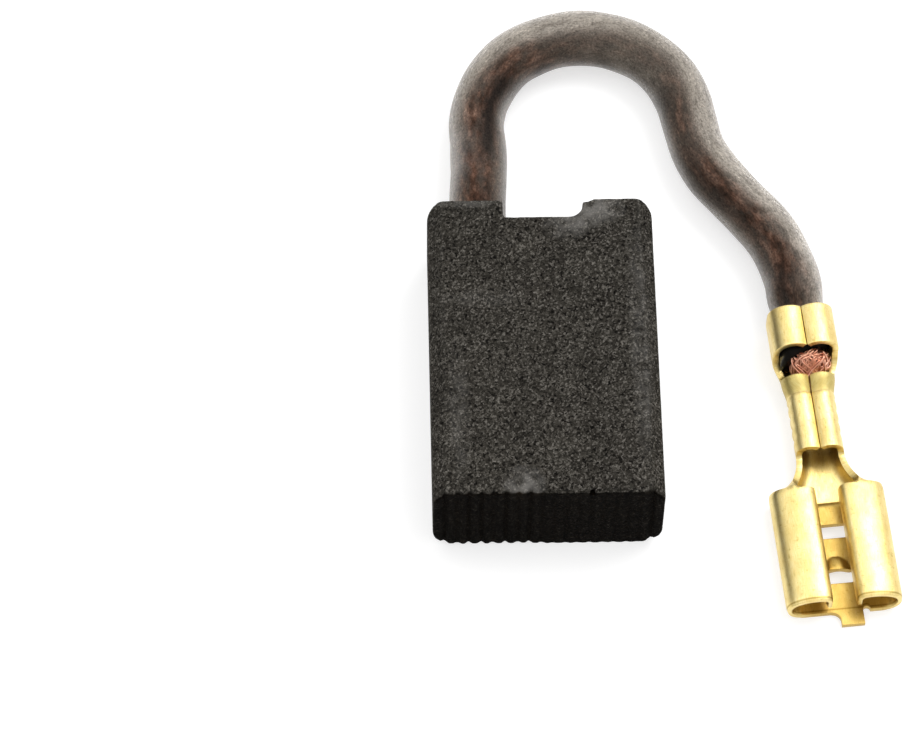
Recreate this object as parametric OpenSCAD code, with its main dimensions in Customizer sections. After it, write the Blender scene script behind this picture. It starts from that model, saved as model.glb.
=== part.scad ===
// Carbon brush with a sleeved copper lead and a push-on spade receptacle.
// X runs across the block, Y along it towards the lead end, Z through its thickness.
// The brush lies on its large back face at z = 0, and the lead and terminal lie on the same surface.

/* [Carbon block] */
// Width across the large faces
block_w = 15; // [13.5:0.1:18]
// Length from the contact face to the shoulders
block_l = 22.2; // [18:0.1:28]
// Thickness between the two large faces
block_t = 7; // [6.2:0.1:9]
// Flat chamfer along the two upper long edges
upper_chamfer = 0.9; // [0.3:0.05:1.3]
// Radius along the two lower long edges
lower_round = 1.5; // [0.5:0.05:2]
// Radius of the outer corners at the lead end
shoulder_round = 0.9; // [0.3:0.05:1.2]
// Depth that the shoulder corner beside the notch is worn down
worn_drop = 0.2; // [0.05:0.05:0.4]
// Length of that worn corner along the shoulder
worn_run = 0.8; // [0.4:0.1:1.5]

/* [Spring notch] */
// Width of the shoulder on the lead side
lead_shoulder_w = 5.05; // [4.6:0.05:5.4]
// Width of the notch between the shoulders
notch_w = 5.3; // [4.2:0.1:6]
// Depth of the notch below the shoulders
notch_depth = 1.35; // [0.8:0.05:2]
// Radius in the notch corner away from the lead
notch_fillet = 0.9; // [0.2:0.05:1.2]

/* [Contact face] */
// Number of bedding grooves across the contact face
groove_count = 19; // [12:1:24]
// Depth of the bedding grooves
groove_depth = 0.25; // [0.1:0.05:0.4]
// Share of the groove pitch that stays as a flat ridge
ridge_share = 0.4; // [0.2:0.05:0.6]

/* [Lead anchorage] */
// Distance from the lead-side face to the lead's axis
lead_inset = 3.45; // [3.1:0.05:3.8]
// Depth of the sleeve's recess below the notch floor
recess_depth = 0.2; // [0.1:0.05:0.8]
// Diameter of the blind bore for the lead
bore_d = 3; // [2.6:0.05:3.4]
// Depth of that bore below the recess
bore_depth = 5.3; // [4:0.1:9]
// Depth that the conductor stops above the bore's end
anchor_gap = 0.3; // [0.1:0.05:0.6]
// Clearance all round between a piece and the hole that it sits in
fit_gap = 0.05; // [0.02:0.01:0.1]

/* [Lead] */
// Diameter of the stranded copper conductor
copper_d = 2.3; // [1.8:0.05:2.4]
// Outer diameter of the insulating sleeve
sleeve_od = 3.8; // [3.6:0.05:4]
// Inner diameter of the insulating sleeve
sleeve_id = 2.6; // [2.5:0.05:2.8]

/* [Terminal sheet] */
// Thickness of the brass sheet
sheet_t = 0.4; // [0.3:0.02:0.44]
// Width over the two rolled ears
receptacle_w = 7.6; // [7.2:0.1:8.2]
// Height over the rolled ears
receptacle_h = 2.45; // [2.3:0.05:2.8]
// Length of the rolled ears
receptacle_l = 8.3; // [7.8:0.1:9]
// Gap between the two rolled ears
ear_gap = 1.56; // [1.2:0.05:2]
// Opening under the ear edges, for the tab
tab_gap = 0.78; // [0.6:0.02:0.9]

/* [Receptacle openings] */
// Distance from the mouth to the first cross slot
slot_start = 2.05; // [1.8:0.05:2.3]
// Length of each cross slot along the terminal
slot_l = 0.9; // [0.5:0.05:1]
// Distance from one cross slot to the next
slot_pitch = 3.3; // [3.1:0.05:3.5]
// Height that the locating dimple stands above the floor
dimple_h = 0.3; // [0.1:0.05:0.4]
// Height that the stop panel is pressed up
stop_h = 0.25; // [0.1:0.05:0.35]
// Length of the carrier stub at the mouth
stub_l = 0.95; // [0.4:0.05:1.2]
// Width of the carrier stub
stub_w = 1.5; // [1:0.1:1.6]
// Distance from the terminal's middle line to the middle of the stub
stub_offset = 0.5; // [0:0.05:0.6]
// Depth of the notch on one side of the stub, and reach of the fillet on its other side
relief_depth = 0.2; // [0.05:0.05:0.4]

/* [Crimps] */
// Length of the waisted neck behind the ears
neck_l = 2.9; // [2.4:0.1:3.6]
// Length of the conductor crimp
wire_crimp_l = 5.4; // [4.6:0.1:6.4]
// Height of the conductor crimp
wire_crimp_h = 2.4; // [2.3:0.05:2.7]
// Half width of the conductor once it is crimped
crimped_copper_half = 1.15; // [1.05:0.05:1.25]
// Length of the flared rear end of the conductor crimp
bell_l = 1.2; // [0.8:0.1:1.6]
// Growth of that flared end
bell_share = 0.14; // [0.05:0.01:0.2]
// Depth of the grooves pressed between the ribs of the conductor crimp
rib_h = 0.07; // [0.02:0.01:0.1]
// Length of the open window between the crimps
window_l = 1.5; // [1.1:0.1:2]
// Length of the insulation crimp
sleeve_crimp_l = 2.95; // [2.4:0.05:3.6]
// Height of the insulation crimp
sleeve_crimp_h = 4.1; // [4:0.05:4.4]
// Half width of the sleeve once it is crimped
crimped_sleeve_half = 1.74; // [1.66:0.02:1.78]
// Gap between the two wings where they meet
seam_gap = 0.06; // [0.02:0.01:0.12]

/* [Hidden] */
$fn = 64;
cut = 1; // how far a cutting solid runs past what it cuts

// ---- Block ----
y_front = -block_l / 2;
y_back = block_l / 2;
y_floor = y_back - notch_depth;
y_recess = y_floor - recess_depth;
y_bore = y_recess - bore_depth;
x_left = -block_w / 2;
x_right = block_w / 2;
notch_x0 = x_left + lead_shoulder_w;
notch_x1 = notch_x0 + notch_w;
lead_x = x_left + lead_inset;
lead_z = block_t / 2;
recess_d = sleeve_od + 2 * fit_gap;
groove_pitch = block_w / groove_count;

// Points on an arc about [cx, cy], from angle a0 to angle a1
function arc(cx, cy, r, a0, a1, steps = 5) =
    [for (i = [0:steps]) let (a = a0 + (a1 - a0) * i / steps) [cx + r * cos(a), cy + r * sin(a)]];

// One land and the valley beside it, for groove k of the contact face
function groove(k) =
    let (x = x_left + (k + 0.5) * groove_pitch, land = groove_pitch * ridge_share / 2)
    concat(
        k == 0 ? [] : [[x - groove_pitch / 2, y_front + groove_depth]],
        [[k == 0 ? x_left : x - land, y_front], [k == groove_count - 1 ? x_right : x + land, y_front]]
    );

// The block seen on its large face, anticlockwise from the left end of the contact face
block_outline = concat(
    [for (k = [0:groove_count - 1]) each groove(k)],
    arc(x_right - shoulder_round, y_back - shoulder_round, shoulder_round, 0, 90),
    [[notch_x1 + worn_run, y_back], [notch_x1 + worn_run / 2, y_back - worn_drop], [notch_x1, y_back - worn_drop]],
    arc(notch_x1 - notch_fillet, y_floor + notch_fillet, notch_fillet, 0, -90),
    [[notch_x0, y_floor], [notch_x0, y_back]],
    arc(x_left + shoulder_round, y_back - shoulder_round, shoulder_round, 90, 180)
);

// The block seen on its contact face, as [x, z]
block_section = concat(
    [[x_left, block_t - upper_chamfer]],
    arc(x_left + lower_round, lower_round, lower_round, 180, 270),
    arc(x_right - lower_round, lower_round, lower_round, 270, 360),
    [[x_right, block_t - upper_chamfer], [x_right - upper_chamfer, block_t], [x_left + upper_chamfer, block_t]]
);

// A cylinder along +Y on the lead's axis, from y0 to y1
module on_lead_axis(d, y0, y1) {
    translate([lead_x, y0, lead_z])
        rotate([-90, 0, 0])
            cylinder(d = d, h = y1 - y0);
}

module carbon_block() {
    color([0.2, 0.2, 0.19])
        difference() {
            intersection() {
                linear_extrude(block_t) polygon(block_outline);
                translate([0, y_back + cut, 0])
                    rotate([90, 0, 0])
                        linear_extrude(block_l + 2 * cut) polygon(block_section);
            }
            on_lead_axis(bore_d, y_bore, y_recess + cut);
            on_lead_axis(recess_d, y_recess, y_back + cut);
        }
}

module tamping_plug() {
    color([0.62, 0.36, 0.24])
        difference() {
            on_lead_axis(bore_d, y_bore, y_recess);
            on_lead_axis(copper_d + 2 * fit_gap, y_bore + anchor_gap, y_recess + cut);
        }
}

// ---- Terminal, as a blank that is bent about its long axis ----
// Along the blank, u runs from the mouth of the ears towards the lead.
neck_u = receptacle_l;
wire_u = neck_u + neck_l;
bell_u = wire_u + wire_crimp_l - bell_l;
window_u = wire_u + wire_crimp_l;
grip_u = window_u + window_l;
end_u = grip_u + sleeve_crimp_l;
stop_front_u = slot_start + slot_pitch + slot_l;
bar_u0 = slot_start + slot_l;
bar_u1 = slot_start + slot_pitch;

// A bend law gives the half section as five stretches, from the middle line to the free edge.
// Each stretch is [length, angle turned], and the first and last are straight.
floor_steps = [0.32, 0.66, 1];
stretch_steps = [3, 6, 3, 6, 1];
function steps_before(k) = k == 0 ? 0 : steps_before(k - 1) + stretch_steps[k - 1];
half_cells = steps_before(5);
function turn(r, a) = [r * a * PI / 180, a];

// The rolled ear: a full outer bend, a flatter crown and a curl that points down at the tab
crown_r = 2.6;
curl_r = 0.45;
ear_bend = 150;
ear_rise = receptacle_h - sheet_t;
ear_r = (ear_rise - crown_r * (1 + cos(ear_bend))) / (1 - cos(ear_bend));
ear_floor = receptacle_w / 2 - sheet_t / 2 - ear_r;
ear_edge = ear_gap / 2 + sheet_t / 2;
crown_end = 180 - asin((ear_edge + curl_r - ear_floor - (ear_r - crown_r) * sin(ear_bend)) / (crown_r - curl_r));
curl_z = sheet_t / 2 + ear_r - (ear_r - crown_r) * cos(ear_bend) - (crown_r - curl_r) * cos(crown_end);

function ear_law() = [
    [ear_floor, 0],
    turn(ear_r, ear_bend),
    turn(crown_r, crown_end - ear_bend),
    turn(curl_r, 270 - crown_end),
    [curl_z - sheet_t - tab_gap, 0]
];

// A crimp whose two wings close in a seam: half is its inner half width, high its outer height,
// and tip the straight end of each wing, which slopes down to the seam
corner_share = 0.78; // share of the half width that each lower corner rounds off
function crimp_law(half, high, tip) =
    let (side = half + fit_gap + sheet_t / 2, corner = corner_share * side, lobe = lobe_r(half, tip))
    [
        [side - corner, 0],
        turn(corner, 90),
        [high - sheet_t - corner - lobe, 0],
        turn(lobe, wing_turn),
        [tip, 0]
    ];

wing_turn = 125; // angle that each wing turns over the lead
wire_tip = 0.15;
sleeve_tip = 0.1;
function lobe_r(half, tip) =
    (half + fit_gap - seam_gap / 2 + sheet_t / 2 * (1 + cos(wing_turn)) - tip * sin(wing_turn))
        / (1 - cos(wing_turn));
wire_law = crimp_law(crimped_copper_half, wire_crimp_h, wire_tip);
grip_law = crimp_law(crimped_sleeve_half, sleeve_crimp_h, sleeve_tip);
bell_law = [for (s = wire_law) [s[0] * (1 + bell_share), s[1]]];
function mix(a, b, f) = a * (1 - f) + b * f;
function ease(f) = f * f * (3 - 2 * f);

// The bend law at any place along the blank
function law(u) =
    u <= neck_u ? ear_law()
    : u < wire_u ? mix(ear_law(), wire_law, sin(acos(1 - (u - neck_u) / neck_l)))
    : u <= bell_u ? wire_law
    : u <= window_u ? mix(wire_law, bell_law, ease((u - bell_u) / bell_l))
    : u < grip_u ? mix(bell_law, grip_law, ease((u - window_u) / window_l))
    : grip_law;

// Follows the law for so many whole stretches and a share of the next: [x, z, heading]
function follow(laws, k, f, at = [0, 0, 0], done = 0) =
    let (part = done < k ? 1 : f, len = laws[done][0] * part, a = laws[done][1] * part, h = at[2],
         r = a == 0 ? 0 : len / (a * PI / 180),
         to = a == 0 ? [at[0] + len * cos(h), at[1] + len * sin(h), h]
            : [at[0] + r * (sin(h + a) - sin(h)), at[1] - r * (cos(h + a) - cos(h)), h + a])
    done == k ? to : follow(laws, k, f, to, done + 1);

// The stretch and the share of it at column j of the blank
function column(j, k = 0) =
    j <= stretch_steps[k] || k == 4
        ? [k, k == 0 ? (j == 0 ? 0 : floor_steps[j - 1]) : j / stretch_steps[k]]
        : column(j - stretch_steps[k], k + 1);

// The free edges of the sheet, as columns: at the neck, the window, the cross slots and the stub,
// and the edge of the stop panel
neck_edge = steps_before(2) + 1;
window_edge = steps_before(2);
slot_edge = steps_before(1) + 2;
stop_edge = steps_before(1);
stub_edge = 1;

// Rows of the blank: the stub, ears, slots, bar, stop panel, neck, ribs, bell, window and grip
rib_count = 4;
rib_margin = [0.7, 0.1]; // plain lengths in front of the ribs and behind them
rib_start = wire_u + rib_margin[0];
rib_end = bell_u - rib_margin[1];
rib_pitch = (rib_end - rib_start) / rib_count;
stop_run = 0.35; // length over which the stop panel comes down, and of the floor behind it
neck_rows = 6;
rows = concat(
    [-stub_l, 0, slot_start / 2, slot_start, bar_u0],
    [for (i = [1:3]) mix(bar_u0, bar_u1, i / 4)],
    [bar_u1, stop_front_u, neck_u - 2 * stop_run, neck_u - stop_run],
    [for (i = [0:neck_rows]) neck_u + neck_l * (1 - cos(90 * i / neck_rows))],
    [for (i = [0:2 * rib_count]) rib_start + i * rib_pitch / 2],
    [bell_u + bell_l * 0.4, bell_u + bell_l * 0.75, window_u],
    [window_u + window_l / 3, window_u + window_l * 2 / 3, grip_u],
    [mix(grip_u, end_u, 0.5), end_u]
);
row_count = len(rows);

// Is there sheet between rows i and i + 1, in the column from j to j + 1?
function has_sheet(i, j) =
    i < 0 || i >= row_count - 1 || j >= half_cells ? false
    : let (u = (rows[i] + rows[i + 1]) / 2)
      u < 0 ? j < stub_edge
      : u > slot_start && u < bar_u0 ? j >= slot_edge
      : u > bar_u1 && u < stop_front_u ? j >= slot_edge
      : u > neck_u && u < wire_u ? j < neck_edge
      : u > window_u && u < grip_u ? j < window_edge
      : true;

// Pressed details: how far a point of the sheet is pushed up, in, or back from the mouth
near = 0.01; // two places closer than this are one
function pressed_up(u, j) =
    u >= stop_front_u && u < neck_u - stop_run - near && j < stop_edge ? stop_h
    : abs(u - (bar_u0 + bar_u1) / 2) < near && j == 0 ? dimple_h
    : 0;
function pressed_in(u, j) =
    u > rib_start && u < rib_end - near && j <= steps_before(3)
        && round((u - rib_start) / (rib_pitch / 2)) % 2 == 1 ? rib_h : 0;
function set_back(u, j) = u == 0 && abs(j) == stub_edge ? sign(j) * relief_depth : 0;

// A point of the sheet: side is 1 for the outer skin and -1 for the inner one
function sheet_point(i, j, side) =
    let (u = rows[i], c = column(abs(j)), p = follow(law(u), c[0], c[1]),
         off = side * sheet_t / 2 - pressed_in(u, abs(j)))
    [
        u <= 0 && abs(j) <= stub_edge ? stub_offset + j / stub_edge * stub_w / 2
            : (j < 0 ? -1 : 1) * (p[0] + off * sin(p[2])),
        u + set_back(u, j),
        sheet_t / 2 + p[1] - off * cos(p[2]) + pressed_up(u, abs(j))
    ];

columns = 2 * half_cells + 1;
function outer_id(i, j) = i * columns + j + half_cells;
function inner_id(i, j) = outer_id(i, j) + row_count * columns;
function quad(a, b, c, d) = [[a, b, c], [a, c, d]];
function cell(i, j) = has_sheet(i, j < 0 ? -j - 1 : j);

sheet_points = [
    for (side = [1, -1]) for (i = [0:row_count - 1]) for (j = [-half_cells:half_cells]) sheet_point(i, j, side)
];
sheet_faces = [
    for (i = [0:row_count - 2]) for (j = [-half_cells:half_cells - 1]) if (cell(i, j))
        each concat(
            quad(outer_id(i, j), outer_id(i, j + 1), outer_id(i + 1, j + 1), outer_id(i + 1, j)),
            quad(inner_id(i, j), inner_id(i + 1, j), inner_id(i + 1, j + 1), inner_id(i, j + 1)),
            cell(i - 1, j) ? [] : quad(outer_id(i, j), inner_id(i, j), inner_id(i, j + 1), outer_id(i, j + 1)),
            cell(i + 1, j) ? []
                : quad(outer_id(i + 1, j), outer_id(i + 1, j + 1), inner_id(i + 1, j + 1), inner_id(i + 1, j)),
            j > -half_cells && cell(i, j - 1) ? []
                : quad(outer_id(i, j), outer_id(i + 1, j), inner_id(i + 1, j), inner_id(i, j)),
            j < half_cells - 1 && cell(i, j + 1) ? []
                : quad(outer_id(i, j + 1), inner_id(i, j + 1), inner_id(i + 1, j + 1), outer_id(i + 1, j + 1))
        )
];

// Where the terminal lies: its rear end, and how far it is turned from the Y axis
terminal_rear = [17.25, 4.4];
terminal_turn = 5;
along = [-sin(terminal_turn), cos(terminal_turn)];
function on_terminal(u, z) = [
    terminal_rear[0] + along[0] * (u - end_u),
    terminal_rear[1] + along[1] * (u - end_u),
    z
];

module terminal() {
    color([0.84, 0.72, 0.36])
        translate(on_terminal(0, 0))
            rotate([0, 0, terminal_turn])
                polyhedron(points = sheet_points, faces = sheet_faces);
}

// ---- Lead: one route for the conductor and its sleeve ----
grip_z = sheet_t + fit_gap + crimped_sleeve_half;
route = [
    [-4, 14.2, 3.3],
    [-3.85, 16.2, 2.8],
    [-3.85, 18.2, 2.35],
    [-3.9, 20.3, 2.05],
    [-3.5, 22.3, 1.95],
    [-2.6, 24.1, 1.95],
    [-1.25, 25.6, 1.95],
    [0.5, 26.65, 1.95],
    [2.45, 27.15, 1.95],
    [4.5, 27.15, 1.95],
    [6.45, 26.55, 1.95],
    [8.15, 25.45, 1.95],
    [9.5, 23.85, 1.95],
    [10.3, 22, 1.95],
    [10.7, 20, 1.95],
    [11.15, 18, 1.95],
    [12, 16.15, 1.95],
    [13.2, 14.5, 1.95],
    [14.5, 12.85, 1.95],
    [15.65, 11.2, 1.95],
    [16.5, 9.35, 1.95],
    [17, 7.4, 2]
];

// Sections of the lead as eight [across, up] points, from a round one to one that is crimped
function oval(w, h, z = 0) = [for (k = [0:7]) [w * cos(45 * k), z + h * sin(45 * k)]];
crimped_skin = crimped_sleeve_half
    * [[1, 0], [0.68, 0.72], [0, 0.6], [-0.68, 0.72], [-1, 0], [-0.71, -0.71], [0, -1], [0.71, -0.71]];
crimped_core_z = -0.64; // the crimped conductor below the middle of its sleeve
crimped_core_w = 0.96; // its half width
crimped_core_h = 0.4; // its half height
core_gap = (sleeve_id - copper_d) / 2;
function skin(q) = mix(oval(sleeve_od / 2, sleeve_od / 2), crimped_skin, q);
function bore(q) = mix(oval(sleeve_id / 2, sleeve_id / 2),
                       oval(crimped_core_w + core_gap, crimped_core_h + core_gap, crimped_core_z), q);
function core(q) = mix(oval(copper_d / 2, copper_d / 2),
                       oval(crimped_core_w, crimped_core_h, crimped_core_z), q);

// Stations of the sleeve, each a point and how far the lead is crimped there
exit_run = 1; // length that the lead keeps straight above the shoulder
sleeve_end_u = mix(window_u, grip_u, 0.7);
stations = concat(
    [[[lead_x, y_recess, lead_z], 0], [[lead_x, y_back + exit_run, lead_z], 0]],
    [for (p = route) [p, 0]],
    [[on_terminal(end_u + 1.7, 2.05), 0.2], [on_terminal(end_u + 0.9, 2.1), 0.6]],
    [for (u = [end_u + 0.2, grip_u, sleeve_end_u]) [on_terminal(u, grip_z), 1]]
);

// The conductor runs on both ways: down its bore, and through the open window into its crimp
core_fill = 0.9; // share of the crimp's width that its eight-sided conductor takes
core_start_u = wire_u + 0.4;
wire_lobe = lobe_r(crimped_copper_half, wire_tip);
wire_tip_z = wire_crimp_h - sheet_t / 2 * (1 + sin(wing_turn)) - wire_lobe * (1 - sin(wing_turn))
    + wire_tip * cos(wing_turn);
wire_core_w = core_fill * crimped_copper_half - rib_h;
wire_core_h = (wire_tip_z - sheet_t - rib_h) / 2 - fit_gap;
wire_z = sheet_t + rib_h + fit_gap + wire_core_h;
copper_rings = concat(
    [[[lead_x, y_bore + anchor_gap, lead_z], core(0)]],
    [for (s = stations) [s[0], core(s[1])]],
    [for (u = [window_u, bell_u, core_start_u]) [on_terminal(u, wire_z), oval(wire_core_w, wire_core_h)]]
);

function unit(v) = v / norm(v);
function flat(v) = [v[0], v[1], 0];
function heading(rings, i) = unit(flat(rings[min(i + 1, len(rings) - 1)][0] - rings[max(i - 1, 0)][0]));

// A ring stands upright across its heading
function ring(centre, dir, section) =
    let (across = cross(dir, [0, 0, 1]))
    [for (p = section) centre + across * p[0] + [0, 0, p[1]]];
function band(a, b, n) = [for (k = [0:n - 1]) each quad(a + k, a + (k + 1) % n, b + (k + 1) % n, b + k)];

// A solid swept through rings, each a centre and a section
module swept(rings) {
    n = len(rings[0][1]);
    last = (len(rings) - 1) * n;
    points = [for (i = [0:len(rings) - 1]) each ring(rings[i][0], heading(rings, i), rings[i][1])];
    faces = concat(
        [for (i = [0:len(rings) - 2]) each band(i * n, (i + 1) * n, n)],
        [[for (k = [n - 1:-1:0]) k], [for (k = [0:n - 1]) last + k]]
    );
    polyhedron(points = points, faces = faces);
}

// A tube swept through rings, each a centre, an outer section and an inner one
module swept_tube(rings) {
    n = len(rings[0][1]);
    count = len(rings);
    inside = count * n;
    last = (count - 1) * n;
    points = [
        for (s = [1, 2]) for (i = [0:count - 1]) each ring(rings[i][0], heading(rings, i), rings[i][s])
    ];
    faces = concat(
        [for (i = [0:count - 2]) each band(i * n, (i + 1) * n, n)],
        [for (i = [0:count - 2]) each band(inside + (i + 1) * n, inside + i * n, n)],
        band(inside, 0, n),
        band(last, inside + last, n)
    );
    polyhedron(points = points, faces = faces);
}

module copper_lead() {
    color([0.72, 0.42, 0.3]) swept(copper_rings);
}

module sleeve() {
    color([0.5, 0.45, 0.42]) swept_tube([for (s = stations) [s[0], skin(s[1]), bore(s[1])]]);
}

carbon_block();
tamping_plug();
copper_lead();
sleeve();
terminal();
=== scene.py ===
import math
import random
import bpy
import numpy as np
from mathutils import Matrix, Vector, noise


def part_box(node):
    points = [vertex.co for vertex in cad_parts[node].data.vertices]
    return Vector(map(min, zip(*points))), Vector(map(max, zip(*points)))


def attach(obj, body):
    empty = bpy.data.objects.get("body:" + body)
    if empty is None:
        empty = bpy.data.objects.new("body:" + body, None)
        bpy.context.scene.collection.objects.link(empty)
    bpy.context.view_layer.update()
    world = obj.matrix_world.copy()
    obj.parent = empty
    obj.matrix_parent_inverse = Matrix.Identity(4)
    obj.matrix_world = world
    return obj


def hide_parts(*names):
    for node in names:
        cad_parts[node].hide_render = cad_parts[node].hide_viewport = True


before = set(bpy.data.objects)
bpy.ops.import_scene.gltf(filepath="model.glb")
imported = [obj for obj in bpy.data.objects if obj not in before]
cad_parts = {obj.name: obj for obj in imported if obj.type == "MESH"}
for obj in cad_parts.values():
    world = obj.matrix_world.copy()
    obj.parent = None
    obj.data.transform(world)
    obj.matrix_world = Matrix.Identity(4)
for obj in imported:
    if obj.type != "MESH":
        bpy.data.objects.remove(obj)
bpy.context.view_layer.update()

MM = 0.001  # all sizes below are in millimetres, unless they say otherwise


# ---- Camera: from the contact face's side, looking down, with a long lens ----
CAM_AZIMUTH = 1.9
CAM_ELEVATION = 60.6
CAM_ROLL = 0.8
CAM_DISTANCE = 295
CAM_TARGET = Vector((-5.7, 1.6, 0))
CAM_LENS = 174.2
CAM_SENSOR = 36


def make_camera():
    az, el, roll = (math.radians(a) for a in (CAM_AZIMUTH, CAM_ELEVATION, CAM_ROLL))
    forward = Vector((math.sin(az) * math.cos(el), math.cos(az) * math.cos(el), -math.sin(el)))
    level = Vector((math.cos(az), -math.sin(az), 0))
    up = level.cross(forward)
    right = level * math.cos(roll) + up * math.sin(roll)
    top = up * math.cos(roll) - level * math.sin(roll)
    data = bpy.data.cameras.new("camera")
    data.lens = CAM_LENS
    data.sensor_width = CAM_SENSOR
    data.clip_start = 0.01
    camera = bpy.data.objects.new("camera", data)
    turn = Matrix((right, top, -forward)).transposed().to_4x4()
    camera.matrix_world = Matrix.Translation((CAM_TARGET - forward * CAM_DISTANCE) * MM) @ turn
    bpy.context.scene.collection.objects.link(camera)
    bpy.context.scene.camera = camera


make_camera()


# ---- Shared helpers ----
def mix(a, b, f):
    return a * (1 - f) + b * f


def ease(f):
    return f * f * (3 - 2 * f)


def clamp(f):
    return min(max(f, 0), 1)


def store_value(mesh, name, values):
    """Stores one value for each point of a mesh, for its material to read."""
    layer = mesh.attributes.new(name, "FLOAT", "POINT")
    layer.data.foreach_set("value", values)


def make_piece(name, points, faces, material):
    """A mesh object from points in millimetres, riding on the root body."""
    mesh = bpy.data.meshes.new(name)
    mesh.from_pydata([Vector(p) * MM for p in points], [], faces)
    mesh.update()
    mesh.polygons.foreach_set("use_smooth", [True] * len(mesh.polygons))
    mesh.materials.append(material)
    piece = bpy.data.objects.new(name, mesh)
    bpy.context.scene.collection.objects.link(piece)
    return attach(piece, "root")


def bake_modifiers(piece, sharp_angle):
    """Applies the modifiers of a piece and marks the edges sharper than an angle in degrees."""
    graph = bpy.context.evaluated_depsgraph_get()
    mesh = bpy.data.meshes.new_from_object(piece.evaluated_get(graph))
    piece.modifiers.clear()
    piece.data = mesh
    mesh.polygons.foreach_set("use_smooth", [True] * len(mesh.polygons))
    mesh.set_sharp_from_angle(angle=math.radians(sharp_angle))


# ---- Materials ----
def new_material(name):
    material = bpy.data.materials.new(name)
    material.use_nodes = True
    nodes = material.node_tree.nodes
    return material, nodes, material.node_tree.links, nodes["Principled BSDF"]


def add_node(nodes, kind, inputs=None, **settings):
    """A shader node with its settings and its plain input values."""
    node = nodes.new(kind)
    for key, value in settings.items():
        setattr(node, key, value)
    for key, value in (inputs or {}).items():
        node.inputs[key].default_value = value
    return node


def add_ramp(nodes, links, source, stops):
    """A colour ramp over a source: stops are (place, grey or colour)."""
    ramp = nodes.new("ShaderNodeValToRGB")
    points = ramp.color_ramp.elements
    while len(points) < len(stops):
        points.new(0.5)
    for point, (place, value) in zip(points, stops):
        point.position = place
        point.color = (value, value, value, 1) if isinstance(value, (int, float)) else (*value, 1)
    links.new(source, ramp.inputs["Fac"])
    return ramp.outputs["Color"]


def add_blend(nodes, links, kind, factor, first, second):
    """A colour mix of two sources or colours, by a plain factor or a source."""
    node = nodes.new("ShaderNodeMix")
    node.data_type = "RGBA"
    node.blend_type = kind
    a = [s for s in node.inputs if s.name == "A" and s.type == "RGBA"][0]
    b = [s for s in node.inputs if s.name == "B" and s.type == "RGBA"][0]
    f = [s for s in node.inputs if s.name == "Factor" and s.type == "VALUE"][0]
    for socket, value in ((f, factor), (a, first), (b, second)):
        if isinstance(value, bpy.types.NodeSocket):
            links.new(value, socket)
        elif socket.type == "VALUE":
            socket.default_value = value
        else:
            socket.default_value = (*value, 1)
    return [s for s in node.outputs if s.type == "RGBA"][0]


def add_math(nodes, links, kind, first, second):
    node = nodes.new("ShaderNodeMath")
    node.operation = kind
    for socket, value in zip(node.inputs, (first, second)):
        if isinstance(value, bpy.types.NodeSocket):
            links.new(value, socket)
        else:
            socket.default_value = value
    return node.outputs[0]


def scaled_place(nodes, links, source, scale):
    """Coordinates from a socket, in metres, times a scale along each axis."""
    mapping = add_node(nodes, "ShaderNodeMapping", {"Scale": scale})
    links.new(source, mapping.inputs["Vector"])
    return mapping.outputs["Vector"]


def add_grey(nodes, links, colour):
    node = nodes.new("ShaderNodeRGBToBW")
    links.new(colour, node.inputs["Color"])
    return node.outputs["Val"]


def add_noise(nodes, links, place, scale, detail=2.0, roughness=0.5, distortion=0.0):
    node = add_node(
        nodes, "ShaderNodeTexNoise",
        {"Scale": scale, "Detail": detail, "Roughness": roughness, "Distortion": distortion},
    )
    links.new(place, node.inputs["Vector"])
    return node.outputs["Fac"]


def add_bump(nodes, links, shader, height, distance, strength=1.0):
    bump = add_node(nodes, "ShaderNodeBump", {"Distance": distance, "Strength": strength})
    links.new(height, bump.inputs["Height"])
    links.new(bump.outputs["Normal"], shader.inputs["Normal"])


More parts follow.
